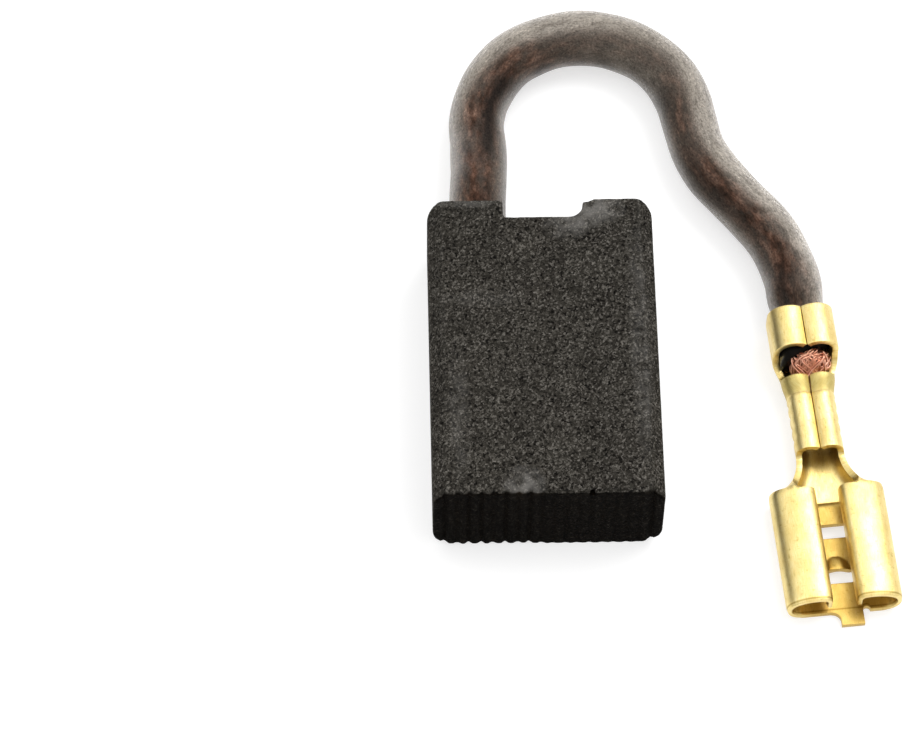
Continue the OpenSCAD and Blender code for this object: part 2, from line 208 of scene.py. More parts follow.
def graphite():
    """Pressed carbon: dark grains with lighter and blacker specks, scuffed where it was handled.

    The contact face is darker than the rest: partly as it is freshly ground, partly painted shade, for a
    face turned away from the light."""
    material, nodes, links, shader = new_material("graphite")
    place = nodes.new("ShaderNodeTexCoord").outputs["Object"]
    scuff = add_node(nodes, "ShaderNodeAttribute", attribute_name="scuff").outputs["Fac"]
    ground_and_shade = add_node(nodes, "ShaderNodeAttribute", attribute_name="ground_and_shade").outputs["Fac"]
    cells = add_node(nodes, "ShaderNodeTexVoronoi", {"Scale": 8200, "Randomness": 1.0})
    links.new(place, cells.inputs["Vector"])
    coarse = add_noise(nodes, links, place, 8800, 2.0, 0.6)
    grain = add_grey(nodes, links, add_blend(nodes, links, "MIX", 0.5, cells.outputs["Color"], coarse))
    fine = add_noise(nodes, links, place, 15000, 1.0, 0.5)
    cloud = add_noise(nodes, links, place, 420, 3.0, 0.55)
    both = add_blend(nodes, links, "MIX", 0.3, grain, fine)
    specks = add_ramp(
        nodes, links, both,
        [(0.28, (0.006, 0.0055, 0.0045)), (0.41, (0.020, 0.018, 0.015)), (0.55, (0.041, 0.0375, 0.0315)),
         (0.70, (0.14, 0.13, 0.115))],
    )
    pits = add_noise(nodes, links, place, 5200, 1.0, 0.5, 0.6)
    specks = add_blend(
        nodes, links, "MULTIPLY", 1.0, specks, add_ramp(nodes, links, pits, [(0.33, 0.15), (0.43, 1.0)])
    )
    clouded = add_blend(
        nodes, links, "MULTIPLY", 1.0, specks,
        add_ramp(nodes, links, cloud, [(0.3, 0.82), (0.7, 1.2)]),
    )
    rubbed = add_blend(nodes, links, "MULTIPLY", 1.0, clouded, (1.7, 1.7, 1.7))
    dusty = add_blend(nodes, links, "MIX", 0.5, rubbed, (0.20, 0.192, 0.182))
    scuffed = add_blend(nodes, links, "MIX", scuff, clouded, dusty)
    # The contact face: its freshly ground colour together with painted shade, as it faces away from the
    # light
    dark = add_blend(nodes, links, "MULTIPLY", ground_and_shade, scuffed, (0.05, 0.032, 0.013))
    links.new(dark, shader.inputs["Base Color"])
    rough = add_ramp(nodes, links, both, [(0.35, 0.82), (0.62, 0.62), (0.72, 0.42)])
    links.new(rough, shader.inputs["Roughness"])
    shader.inputs["Specular IOR Level"].default_value = 0.02
    add_bump(nodes, links, shader, both, 0.00016, 0.8)
    return material


def brass():
    """Satin brass sheet with fine drawing lines along the terminal, tool marks, tarnished places, and
    painted shade on the floor between the ears and in the neck.
    """
    material, nodes, links, shader = new_material("brass_sheet")
    blank = nodes.new("ShaderNodeTexCoord").outputs["UV"]
    lines = add_noise(nodes, links, scaled_place(nodes, links, blank, (26, 1.6, 1)), 1.0, 4.0, 0.6)
    hair = add_noise(nodes, links, scaled_place(nodes, links, blank, (95, 2.2, 1)), 1.0, 2.0, 0.5)
    patches = add_noise(nodes, links, scaled_place(nodes, links, blank, (0.9, 0.45, 1)), 1.0, 3.0, 0.55)
    tone = add_ramp(
        nodes, links, lines,
        [(0.30, (0.80, 0.62, 0.23)), (0.52, (0.88, 0.72, 0.32)), (0.75, (0.94, 0.82, 0.46))],
    )
    aged = add_blend(
        nodes, links, "MULTIPLY", 1.0, tone,
        add_ramp(nodes, links, patches, [(0.28, (0.86, 0.80, 0.66)), (0.62, 1.0)]),
    )
    spots = add_noise(nodes, links, scaled_place(nodes, links, blank, (3.4, 2.1, 1)), 1.0, 4.0, 0.7)
    marks = add_noise(nodes, links, scaled_place(nodes, links, blank, (2.2, 17, 1)), 1.0, 3.0, 0.6)
    along = nodes.new("ShaderNodeSeparateXYZ")
    links.new(blank, along.inputs[0])
    clean = (1.0, 1.0, 1.0)
    # A dark line behind the mouth's rim, then spots and cross marks
    for source, stops in (
        (along.outputs["Y"], [(0.12, clean), (0.20, (0.52, 0.45, 0.27)), (0.30, clean)]),
        (spots, [(0.57, clean), (0.72, (0.72, 0.66, 0.46))]),
        (marks, [(0.60, clean), (0.70, (0.80, 0.75, 0.58))]),
    ):
        aged = add_blend(nodes, links, "MULTIPLY", 1.0, aged, add_ramp(nodes, links, source, stops))
    dull = add_node(nodes, "ShaderNodeAttribute", attribute_name="dull").outputs["Fac"]
    # deep carries painted shade: it darkens the floor between the ears and the neck under the conductor
    # crimp
    deep = add_node(nodes, "ShaderNodeAttribute", attribute_name="deep").outputs["Fac"]
    recess_shaded = add_blend(nodes, links, "MULTIPLY", deep, aged, (0.66, 0.56, 0.36))
    olive = add_blend(nodes, links, "MULTIPLY", dull, recess_shaded, (0.62, 0.62, 0.50))
    links.new(olive, shader.inputs["Base Color"])
    shine = add_ramp(nodes, links, patches, [(0.3, 0.42), (0.7, 0.33)])
    links.new(add_blend(nodes, links, "MIX", dull, shine, (0.5, 0.5, 0.5)), shader.inputs["Roughness"])
    shader.inputs["Metallic"].default_value = 1.0
    add_bump(nodes, links, shader, add_blend(nodes, links, "MIX", 0.5, lines, hair), 0.00003, 0.35)
    return material


def silicone():
    """Hazy sleeve: grey-beige walls, with the copper inside showing as a mottled red-brown core."""
    material, nodes, links, shader = new_material("silicone")
    tube = add_node(nodes, "ShaderNodeAttribute", attribute_name="tube").outputs["Vector"]
    core, soot, pale, blackened_end = (
        add_node(nodes, "ShaderNodeAttribute", attribute_name=name).outputs["Fac"]
        for name in ("core", "soot", "pale", "blackened_end")
    )
    cloud = add_noise(nodes, links, scaled_place(nodes, links, tube, (0.75, 0.75, 0.3)), 1.0, 4.0, 0.62)
    streaks = add_noise(nodes, links, scaled_place(nodes, links, tube, (2.1, 2.1, 0.8)), 1.0, 4.0, 0.6)
    dust = add_noise(nodes, links, scaled_place(nodes, links, tube, (8.5, 8.5, 5.5)), 1.0, 2.0, 0.65)
    wall = add_ramp(
        nodes, links, cloud,
        [(0.3, (0.10, 0.086, 0.072)), (0.5, (0.19, 0.165, 0.138)), (0.7, (0.31, 0.275, 0.228))],
    )
    copper_seen = add_ramp(
        nodes, links, streaks,
        [(0.33, (0.026, 0.016, 0.011)), (0.46, (0.070, 0.036, 0.023)), (0.57, (0.145, 0.073, 0.047)),
         (0.70, (0.30, 0.175, 0.125))],
    )
    patchy = add_ramp(nodes, links, cloud, [(0.32, 0.35), (0.6, 1.0)])
    shown = add_blend(nodes, links, "MULTIPLY", 1.0, patchy, core)
    thin = add_ramp(nodes, links, streaks, [(0.36, 0.35), (0.56, 1.0)])
    haze = add_blend(nodes, links, "MULTIPLY", 1.0, thin, pale)
    hazy = add_blend(nodes, links, "MIX", haze, wall, (0.52, 0.47, 0.41))
    tone = add_blend(nodes, links, "MIX", shown, hazy, copper_seen)
    sooty = add_blend(nodes, links, "MIX", soot, tone, (0.016, 0.012, 0.010))
    dusty = add_blend(
        nodes, links, "MULTIPLY", 1.0, sooty,
        add_ramp(nodes, links, dust, [(0.32, 0.46), (0.5, 0.92), (0.62, 1.1), (0.72, 1.75)]),
    )
    # The last length of the sleeve, up to its cut end, is darkened almost to black
    black = add_blend(nodes, links, "MIX", blackened_end, dusty, (0.010, 0.009, 0.008))
    links.new(black, shader.inputs["Base Color"])
    shader.inputs["Transmission Weight"].default_value = 0.4
    shader.inputs["IOR"].default_value = 1.12
    shader.inputs["Roughness"].default_value = 0.5
    shader.inputs["Specular IOR Level"].default_value = 0.25
    add_bump(nodes, links, shader, dust, 0.00003, 0.5)
    return material


def copper(name, dark):
    """Bare copper wire, oxidised to red-brown where dark is near 1."""
    material, nodes, links, shader = new_material(name)
    blank = nodes.new("ShaderNodeTexCoord").outputs["Object"]
    stain = add_noise(nodes, links, blank, 900, 3.0, 0.6)
    bright = (0.90, 0.50, 0.36)
    brown = (0.20, 0.075, 0.04)
    low = tuple(mix(a, b, dark) for a, b in zip((0.72, 0.33, 0.21), brown))
    high = tuple(mix(a, b, dark * 0.6) for a, b in zip(bright, brown))
    links.new(add_ramp(nodes, links, stain, [(0.35, low), (0.65, high)]), shader.inputs["Base Color"])
    shader.inputs["Metallic"].default_value = 1.0
    shader.inputs["Roughness"].default_value = mix(0.32, 0.55, dark)
    return material


def copper_powder():
    """Rammed copper powder, which the sleeve hides in the bore."""
    material, nodes, links, shader = new_material("copper_powder")
    place = nodes.new("ShaderNodeTexCoord").outputs["Object"]
    grain = add_noise(nodes, links, place, 5000, 2.0, 0.6)
    links.new(
        add_ramp(nodes, links, grain, [(0.35, (0.16, 0.07, 0.04)), (0.65, (0.50, 0.25, 0.15))]),
        shader.inputs["Base Color"],
    )
    shader.inputs["Metallic"].default_value = 0.6
    shader.inputs["Roughness"].default_value = 0.7
    add_bump(nodes, links, shader, grain, 0.00008, 0.6)
    return material


def floor_material():
    """Plain pale matt floor."""
    material, nodes, links, shader = new_material("floor")
    shader.inputs["Base Color"].default_value = (0.5, 0.5, 0.5, 1)
    shader.inputs["Emission Color"].default_value = (1, 1, 1, 1)
    shader.inputs["Emission Strength"].default_value = 0.6
    shader.inputs["Roughness"].default_value = 0.9
    shader.inputs["Specular IOR Level"].default_value = 0.1
    return material


# ---- Sizes that the terminal and the lead share with the solids ----
FIT_GAP = 0.05
SHEET = 0.4
RECEPTACLE_W = 7.6
RECEPTACLE_H = 2.45
RECEPTACLE_L = 8.3
EAR_GAP = 1.56
TAB_GAP = 0.78
SLOT_START = 2.05
SLOT_L = 0.9
SLOT_PITCH = 3.3
DIMPLE_H = 0.3
STOP_H = 0.25
STUB_L = 0.95
STUB_W = 1.5
STUB_OFFSET = 0.5
NECK_L = 2.9
WIRE_CRIMP_L = 5.4
WIRE_CRIMP_H = 2.4
CRIMPED_COPPER_HALF = 1.15
BELL_L = 1.2
BELL_SHARE = 0.14
RIB_H = 0.07
WINDOW_L = 1.5
GRIP_L = 2.95
GRIP_H = 4.1
CRIMPED_SLEEVE_HALF = 1.74
SEAM_GAP = 0.06
COPPER_D = 2.3
SLEEVE_OD = 3.8
SLEEVE_ID = 2.6
LEAD_INSET = 3.45
NOTCH_DEPTH = 1.35
RECESS_DEPTH = 0.2

NECK_U = RECEPTACLE_L
WIRE_U = NECK_U + NECK_L
BELL_U = WIRE_U + WIRE_CRIMP_L - BELL_L
WINDOW_U = WIRE_U + WIRE_CRIMP_L
GRIP_U = WINDOW_U + WINDOW_L
END_U = GRIP_U + GRIP_L
BAR_U0 = SLOT_START + SLOT_L
BAR_U1 = SLOT_START + SLOT_PITCH
STOP_U = BAR_U1 + SLOT_L
SLEEVE_END_U = mix(WINDOW_U, GRIP_U, 0.7)

TERMINAL_REAR = (17.25, 4.4)
TERMINAL_TURN = math.radians(5)


def on_terminal(u, z, across=0.0):
    """A place on the terminal: u from its mouth towards the lead, across its width, z up."""
    back = u - END_U
    return Vector((
        TERMINAL_REAR[0] - math.sin(TERMINAL_TURN) * back + math.cos(TERMINAL_TURN) * across,
        TERMINAL_REAR[1] + math.cos(TERMINAL_TURN) * back + math.sin(TERMINAL_TURN) * across,
        z,
    ))


# ---- Lead: the route that the solids follow ----
block_low, block_high = (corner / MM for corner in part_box("carbon_block"))
LEAD_X = block_low.x + LEAD_INSET
LEAD_Z = (block_low.z + block_high.z) / 2
SHOULDER_Y = block_high.y
RECESS_Y = SHOULDER_Y - NOTCH_DEPTH - RECESS_DEPTH
GRIP_Z = SHEET + FIT_GAP + CRIMPED_SLEEVE_HALF
ROUTE = [
    (-4, 14.2, 3.3),
    (-3.85, 16.2, 2.8),
    (-3.85, 18.2, 2.35),
    (-3.9, 20.3, 2.05),
    (-3.5, 22.3, 1.95),
    (-2.6, 24.1, 1.95),
    (-1.25, 25.6, 1.95),
    (0.5, 26.65, 1.95),
    (2.45, 27.15, 1.95),
    (4.5, 27.15, 1.95),
    (6.45, 26.55, 1.95),
    (8.15, 25.45, 1.95),
    (9.5, 23.85, 1.95),
    (10.3, 22, 1.95),
    (10.7, 20, 1.95),
    (11.15, 18, 1.95),
    (12, 16.15, 1.95),
    (13.2, 14.5, 1.95),
    (14.5, 12.85, 1.95),
    (15.65, 11.2, 1.95),
    (16.5, 9.35, 1.95),
    (17, 7.4, 2),
]
# Each station is a point and how far the lead is crimped there
STATIONS = (
    [((LEAD_X, RECESS_Y, LEAD_Z), 0), ((LEAD_X, SHOULDER_Y + 1, LEAD_Z), 0)]
    + [(p, 0) for p in ROUTE]
    + [(on_terminal(END_U + 1.7, 2.05), 0.2), (on_terminal(END_U + 0.9, 2.1), 0.6)]
    + [(on_terminal(u, GRIP_Z), 1) for u in (END_U + 0.2, GRIP_U, SLEEVE_END_U)]
)


def smooth_path(stations, step):
    """Centripetal Catmull-Rom curve through the stations, resampled evenly: points and crimping."""
    rows = np.array([[*p, q] for p, q in stations], float)
    rows = np.vstack([2 * rows[0] - rows[1], rows, 2 * rows[-1] - rows[-2]])
    fine = []
    for a, b, c, d in zip(rows[:-3], rows[1:-2], rows[2:-1], rows[3:]):
        t = np.cumsum([0] + [math.sqrt(np.linalg.norm((q - p)[:3])) for p, q in ((a, b), (b, c), (c, d))])
        for x in np.linspace(t[1], t[2], 24, endpoint=False):
            ab = ((t[1] - x) * a + (x - t[0]) * b) / (t[1] - t[0])
            bc = ((t[2] - x) * b + (x - t[1]) * c) / (t[2] - t[1])
            cd = ((t[3] - x) * c + (x - t[2]) * d) / (t[3] - t[2])
            abc = ((t[2] - x) * ab + (x - t[0]) * bc) / (t[2] - t[0])
            bcd = ((t[3] - x) * bc + (x - t[1]) * cd) / (t[3] - t[1])
            fine.append(((t[2] - x) * abc + (x - t[1]) * bcd) / (t[2] - t[1]))
    fine = np.array(fine + [rows[-2]])
    along = np.concatenate([[0], np.cumsum(np.linalg.norm(np.diff(fine[:, :3], axis=0), axis=1))])
    places = np.linspace(0, along[-1], round(along[-1] / step) + 1)
    out = np.stack([np.interp(places, along, fine[:, k]) for k in range(4)], 1)
    return out[:, :3], out[:, 3].clip(0, 1), places


def upright_rings(centres):
    """The sideways direction of each upright ring along a path."""
    ahead = np.gradient(centres, axis=0)
    ahead[:, 2] = 0
    ahead /= np.linalg.norm(ahead, axis=1, keepdims=True)
    return np.stack([ahead[:, 1], -ahead[:, 0], np.zeros(len(ahead))], 1)


def oval(width, height, z=0.0, sides=48):
    a = np.linspace(0, 2 * math.pi, sides, endpoint=False)
    return np.stack([width * np.cos(a), z + height * np.sin(a)], 1)


def between(a, b, c, d, f):
    """Catmull-Rom: the place at a share f of the way from b to c, with a before and d after them."""
    return 0.5 * (2 * b + (c - a) * f + (2 * a - 5 * b + 4 * c - d) * f**2 + (3 * b - a - 3 * c + d) * f**3)


def closed_curve(corners, sides=48):
    """A smooth closed curve through a few corners."""
    p = np.array(corners, float)
    out = []
    for k in range(sides):
        x = k * len(p) / sides
        i, f = int(x), x - int(x)
        a, b, c, d = (p[(i + n) % len(p)] for n in (-1, 0, 1, 2))
        out.append(between(a, b, c, d, f))
    return np.array(out)


SKIN_CRIMPED = CRIMPED_SLEEVE_HALF * closed_curve(
    [(1, 0), (0.68, 0.72), (0, 0.6), (-0.68, 0.72), (-1, 0), (-0.71, -0.71), (0, -1), (0.71, -0.71)]
)
CORE_Z = -0.64
CORE_W = 0.96
CORE_H = 0.4
CORE_GAP = (SLEEVE_ID - COPPER_D) / 2


def tube_faces(count, sides, base=0, inward=False):
    faces = []
    for i in range(count - 1):
        for k in range(sides):
            a, b = base + i * sides + k, base + i * sides + (k + 1) % sides
            face = (a, b, b + sides, a + sides)
            faces.append(face[::-1] if inward else face)
    return faces


def sweep(centres, sections):
    """Points of upright rings: one section of [across, up] for each centre."""
    across = upright_rings(centres)
    return (
        centres[:, None, :]
        + across[:, None, :] * sections[:, :, :1]
        + np.array([0, 0, 1.0]) * sections[:, :, 1:]
    )


SLEEVE_STEP = 0.3  # length between rings of points
SLEEVE_LUMPS = 0.05
LUMPS_START = 2.5  # even length above the recess
LUMPS_FADE = 3
SLEEVE_SLANT = 0.38  # how far the cut end leans over the lead's width
SLEEVE_CUT = 1.2  # place across the lead where the slanted end keeps its full length
SLANT_RUN = 2.4  # length over which the slant comes in
BLACK_END_L = 3.2  # blackened length at the cut end, and how much of it is a fade
BLACK_END_FADE = 1.6
SOOT_SHIFT = 0.32  # how far beside the core's middle the soot lies, and its width
SOOT_W = 0.3
PALE_FADE = 0.65  # width over which the haze on the outer side comes in
# Tables of (length along the sleeve, value). Places and widths across it are shares of its radius.
# The band in which the core shows: its half width, its middle and its strength
CORE_BAND = ((0, 0.85), (8, 0.8), (14, 0.6), (20, 0.42), (30, 0.42), (42, 0.5), (49, 0.75))
CORE_SHIFT = (
    (0, -0.05), (6, -0.05), (11, 0.1), (15, 0.45), (19, 0.72), (23, 0.6), (29, 0.3), (34, 0.4), (42, 0.45),
    (48, 0.15),
)
CORE_SHARE = ((0, 1), (12, 1), (17, 0.95), (20, 0.7), (23, 0.3), (29, 0.4), (33, 0.75), (38, 0.95), (50, 1))
# The soot beside the core, and the haze on the outer side
SOOT_SHARE = (
    (0, 0.3), (3, 0.7), (9, 0.95), (15, 0.9), (19, 0.6), (23, 0.1), (31, 0.25), (37, 0.6), (44, 0.35),
    (48, 0.7), (52, 0.9),
)
PALE_SHARE = (
    (0, 0.15), (8, 0.3), (13, 0.45), (17, 0.7), (21, 0.85), (26, 0.6), (31, 0.6), (37, 0.85), (46, 0.95),
    (50, 0.5),
)


def read_table(table, along):
    """A table's values at lengths along the sleeve, as a column."""
    return np.interp(along, *zip(*table))[:, None]


def shade_sleeve(mesh, along, turns, lumps):
    """Stores the sleeve's core, soot, haze and blackened end, and each point's place on the tube."""
    around = np.broadcast_to(np.cos(turns), lumps.shape)
    band, middle, share = (read_table(table, along) for table in (CORE_BAND, CORE_SHIFT, CORE_SHARE))
    core = np.exp(-(((around - middle) / band) ** 4)) * share
    beside = np.exp(-(((around - middle - SOOT_SHIFT) / SOOT_W) ** 2))
    soot = read_table(SOOT_SHARE, along) * beside * np.clip(0.75 + 1.6 * lumps, 0, 1)
    pale = ease(np.clip((middle - around) / PALE_FADE, 0, 1)) * read_table(PALE_SHARE, along)
    from_end = along[-1] - along
    blackened_end = ease(np.clip((BLACK_END_L - from_end) / BLACK_END_FADE, 0, 1))[:, None] * np.ones(len(turns))
    for name, values in (("core", core), ("soot", soot), ("pale", pale), ("blackened_end", blackened_end)):
        store_value(mesh, name, np.tile(np.clip(values, 0, 1).ravel(), 2))
    lengths = np.repeat(along[:, None], len(turns), 1)
    tube = np.stack([around, np.broadcast_to(np.sin(turns), lumps.shape), lengths], 2)
    layer = mesh.attributes.new("tube", "FLOAT_VECTOR", "POINT")
    layer.data.foreach_set("vector", np.tile((tube * [SLEEVE_OD / 2, SLEEVE_OD / 2, 1]).ravel(), 2))


def make_sleeve(material):
    """The silicone tube, a little uneven over the rope inside it."""
    centres, crimped, along = smooth_path(STATIONS, SLEEVE_STEP)
    q = ease(crimped)[:, None, None]
    skin = mix(oval(SLEEVE_OD / 2, SLEEVE_OD / 2), SKIN_CRIMPED, q)
    bore = mix(
        oval(SLEEVE_ID / 2, SLEEVE_ID / 2),
        oval(CORE_W + CORE_GAP, CORE_H + CORE_GAP, CORE_Z), q,
    )
    turns = np.linspace(0, 2 * math.pi, skin.shape[1], endpoint=False)
    lumps = np.array([
        [noise.noise((math.cos(a) * 0.9, math.sin(a) * 0.9, s * 0.33)) for a in turns] for s in along
    ])
    free = np.clip((along - LUMPS_START) / LUMPS_FADE, 0, 1)[:, None] * (1 - q[:, :, 0])
    skin = skin * (1 + SLEEVE_LUMPS * (lumps * free)[:, :, None])
    outer, inner = sweep(centres, skin), sweep(centres, bore)
    slant = SLEEVE_SLANT * ease(np.clip((along - along[-1] + SLANT_RUN) / SLANT_RUN, 0, 1))[:, None, None]
    towards_mouth = np.array(on_terminal(0, 0) - on_terminal(1, 0))
    sideways = upright_rings(centres)[:, None, :]
    for wall in (outer, inner):
        across = ((wall - centres[:, None, :]) * sideways).sum(2, keepdims=True)
        wall += slant * (across - SLEEVE_CUT) * towards_mouth
    count, sides = outer.shape[:2]
    faces = tube_faces(count, sides) + tube_faces(count, sides, count * sides, inward=True)
    last = (count - 1) * sides
    for k in range(sides):
        n = (k + 1) % sides
        faces.append((k, count * sides + k, count * sides + n, n))
        faces.append((last + n, count * sides + last + n, count * sides + last + k, last + k))
    points = np.concatenate([outer.reshape(-1, 3), inner.reshape(-1, 3)])
    sleeve = make_piece("lead_sleeve", points, faces, material)
    shade_sleeve(sleeve.data, along, turns, lumps)
    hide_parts("sleeve")
    return sleeve, centres, along[-1]


ROPE_STEP = 0.25
ROPE_SIDES = 56
ROPE_ROOT = 5  # length in the bore, below the recess
ROPE_BUNDLES = 7
ROPE_LAY = 13.0
ROPE_VALLEY = 0.86  # radius between two bundles, and what a bundle adds to it, as shares
ROPE_BULGE = 0.13
CRIMPED_VALLEY = 0.93
CRIMPED_BULGE = 0.05


def make_rope(material):
    """The stranded conductor: bundles twisted together, from the bore to the window."""
    centres, crimped, along = smooth_path(STATIONS, ROPE_STEP)
    lead_in = np.arange(RECESS_Y - ROPE_ROOT, RECESS_Y - 0.01, ROPE_STEP)
    start = np.stack([np.full_like(lead_in, LEAD_X), lead_in, np.full_like(lead_in, LEAD_Z)], 1)
    centres = np.concatenate([start, centres])
    crimped = np.concatenate([np.zeros(len(start)), crimped])
    along = np.concatenate([lead_in - RECESS_Y, along])
    a = np.linspace(0, 2 * math.pi, ROPE_SIDES, endpoint=False)[None, :]
    lobes = np.abs(np.cos(ROPE_BUNDLES / 2 * (a + 2 * math.pi * along[:, None] / ROPE_LAY)))
    radius = (COPPER_D / 2) * (ROPE_VALLEY + ROPE_BULGE * np.sqrt(lobes))
    round_rope = radius[:, :, None] * np.stack([np.cos(a), np.sin(a)], 2)
    flat_rope = oval(CORE_W, CORE_H, CORE_Z, ROPE_SIDES)
    flat_rope = flat_rope * (CRIMPED_VALLEY + CRIMPED_BULGE * lobes[:, :, None])
    points = sweep(centres, mix(round_rope, flat_rope, ease(crimped)[:, None, None]))
    count = points.shape[0]
    faces = tube_faces(count, ROPE_SIDES)
    faces.append(tuple(range(ROPE_SIDES))[::-1])
    faces.append(tuple((count - 1) * ROPE_SIDES + k for k in range(ROPE_SIDES)))
    rope = make_piece("copper_rope", points.reshape(-1, 3), faces, material)
    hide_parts("copper_lead")
    return rope


# ---- Terminal: the same blank bent about its long axis as the solid, with finer cells ----
EAR_BEND = 150
CROWN_R = 2.6
CURL_R = 0.45
CORNER_SHARE = 0.78
WING_TURN = math.radians(125)
WIRE_TIP = 0.15
GRIP_TIP = 0.1
EAR_R = (RECEPTACLE_H - SHEET - CROWN_R * (1 + math.cos(math.radians(EAR_BEND)))) / (
    1 - math.cos(math.radians(EAR_BEND))
)
EAR_FLOOR = RECEPTACLE_W / 2 - SHEET / 2 - EAR_R
CROWN_END = 180 - math.degrees(math.asin(
    (EAR_GAP / 2 + SHEET / 2 + CURL_R - EAR_FLOOR - (EAR_R - CROWN_R) * math.sin(math.radians(EAR_BEND)))
    / (CROWN_R - CURL_R)
))
CURL_Z = (
    SHEET / 2 + EAR_R - (EAR_R - CROWN_R) * math.cos(math.radians(EAR_BEND))
    - (CROWN_R - CURL_R) * math.cos(math.radians(CROWN_END))
)


def bend(radius, degrees):
    return (radius * math.radians(degrees), math.radians(degrees))


EAR_LAW = np.array([
    (EAR_FLOOR, 0),
    bend(EAR_R, EAR_BEND),
    bend(CROWN_R, CROWN_END - EAR_BEND),
    bend(CURL_R, 270 - CROWN_END),
    (CURL_Z - SHEET - TAB_GAP, 0),
])


def lobe_radius(half, tip):
    """Radius of each wing's bend over the lead, so that the wings meet in the seam."""
    reach = half + FIT_GAP - SEAM_GAP / 2 + SHEET / 2 * (1 + math.cos(WING_TURN)) - tip * math.sin(WING_TURN)
    return reach / (1 - math.cos(WING_TURN))


def crimp_law(half, high, tip):
    """A crimp whose two wings close in a seam, from its inner half width and outer height."""
    side = half + FIT_GAP + SHEET / 2
    corner = CORNER_SHARE * side
    lobe = lobe_radius(half, tip)
    return np.array([
        (side - corner, 0),
        bend(corner, 90),
        (high - SHEET - corner - lobe, 0),
        (lobe * WING_TURN, WING_TURN),
        (tip, 0),
    ])


WIRE_LAW = crimp_law(CRIMPED_COPPER_HALF, WIRE_CRIMP_H, WIRE_TIP)
GRIP_LAW = crimp_law(CRIMPED_SLEEVE_HALF, GRIP_H, GRIP_TIP)
BELL_LAW = WIRE_LAW * np.array([1 + BELL_SHARE, 1])


def law(u):
    """The bend law at any place along the blank: five stretches of [length, angle turned]."""
    if u <= NECK_U:
        return EAR_LAW
    if u < WIRE_U:
        return mix(EAR_LAW, WIRE_LAW, math.sqrt(1 - (1 - (u - NECK_U) / NECK_L) ** 2))
    if u <= BELL_U:
        return WIRE_LAW
    if u <= WINDOW_U:
        return mix(WIRE_LAW, BELL_LAW, ease((u - BELL_U) / BELL_L))
    if u < GRIP_U:
        return mix(BELL_LAW, GRIP_LAW, ease((u - WINDOW_U) / WINDOW_L))
    return GRIP_LAW


def follow(laws, place):
    """Follows a law to a place counted in stretches: [across, up, heading], and the length so far."""
    x = z = heading = length = 0.0
    for k, (stretch, turn) in enumerate(laws):
        share = clamp(place - k)
        if share == 0:
            break
        run, angle = stretch * share, turn * share
        if abs(angle) < 1e-9:
            x += run * math.cos(heading)
            z += run * math.sin(heading)
        else:
            r = run / angle
            x += r * (math.sin(heading + angle) - math.sin(heading))
            z -= r * (math.cos(heading + angle) - math.cos(heading))
        heading += angle
        length += run
    return x, z, heading, length


def run_to(laws, place):
    """Length of sheet from the middle line to a place counted in stretches."""
    return sum(stretch * clamp(place - k) for k, (stretch, turn) in enumerate(laws))


def place_at(laws, length):
    """The place, counted in stretches, at a length of sheet from the middle line."""
    last = len(laws) - 1
    for k, (stretch, turn) in enumerate(laws):
        if length <= stretch or k == last:
            return k + clamp(length / stretch)
        length -= stretch


FINE_STEPS = (16, 14, 9, 14, 2)  # cells in each stretch, from the middle line to the free edge
FINE_ROW = 0.13  # longest cell along the terminal
STUB_ROW = 0.07  # longest cell along the stub
NECK_EDGE = 2 + 1 / 3  # free edge of the neck's walls, counted in stretches
WINDOW_EDGE = 2.0
SLOT_EDGE = 1 + 1 / 3
STOP_EDGE = 1.0
STUB_X = (STUB_OFFSET - STUB_W / 2, STUB_OFFSET + STUB_W / 2)
STUB_FILLET_R = 0.6  # between the stub and the floor, on one side
STUB_NOTCH_R = 0.25  # round notch beside the stub, on the other side
NOTCH_TURNS = (0, 30, 60, 90, 120, 150, 180)  # places round the notch that have a column of cells
MOUTH_FADE = 0.9  # length over which the cells behind the mouth settle again
RIB_COUNT = 4
RIB_MARGIN = (0.7, 0.1)
CREASE_W = 0.1  # the crease where the bell meets the ribbed part
CREASE_H = 0.04
RIB_GAIN = 1.25  # makes up for the narrower troughs that RIB_SHARPNESS gives
RIB_SHARPNESS = 1.5
RIB_EDGE = 3.4  # where the ribs end, counted in stretches, and how much of that is a fade
RIB_FADE = 0.5
STOP_RUN = 0.35  # length of the stop panel's slopes
STOP_MARGIN = 0.12
DIMPLE_R = (0.75, 1.0)
DIMPLE_FULLNESS = 0.8  # below 1, the dimple is fuller than a paraboloid
WINDOW_R = 0.6  # round ends of the window's side openings
NECK_R = (0.95, 0.4)  # round ends of the neck's free edges, at the ears and at the crimp
EAR_CORNER_R = 0.4  # round rear corners of the ears' free edges
FADE = 0.5  # length over which the moved cells settle again
RIM_L = 0.3  # coined rim round the mouth
RIM_SHARE = 0.6
EDGE_BEVEL = 0.06
BEVEL_FROM = 60  # edges sharper than this many degrees are bevelled
SHARP_FROM = 38  # and those sharper than this many are shaded as edges
# What the material reads: how dull the bell is, and how much painted shade darkens the floor between the
# ears and the neck under the crimp
DULL_BELL = 0.85
DULL_START = 0.1
DULL_FADE = 0.4
RECESS_SHADE_FADE = 0.8
EAR_SHADE_EDGE = 1.5  # counted in stretches
CRIMP_SHADE_EDGE = 2.4


def fine_columns():
    places = [0.0]
    for k, steps in enumerate(FINE_STEPS):
        places += [k + (i + 1) / steps for i in range(steps)]
    round_notch = [STUB_X[1] + STUB_NOTCH_R * (1 - math.cos(math.radians(a))) for a in NOTCH_TURNS]
    marks = [abs(x) / EAR_FLOOR for x in (STUB_X[0], *round_notch)] + [NECK_EDGE, SLOT_EDGE]
    kept = [p for p in places if min(abs(p - m) for m in marks) > 0.01]
    return np.array(sorted(kept + marks))


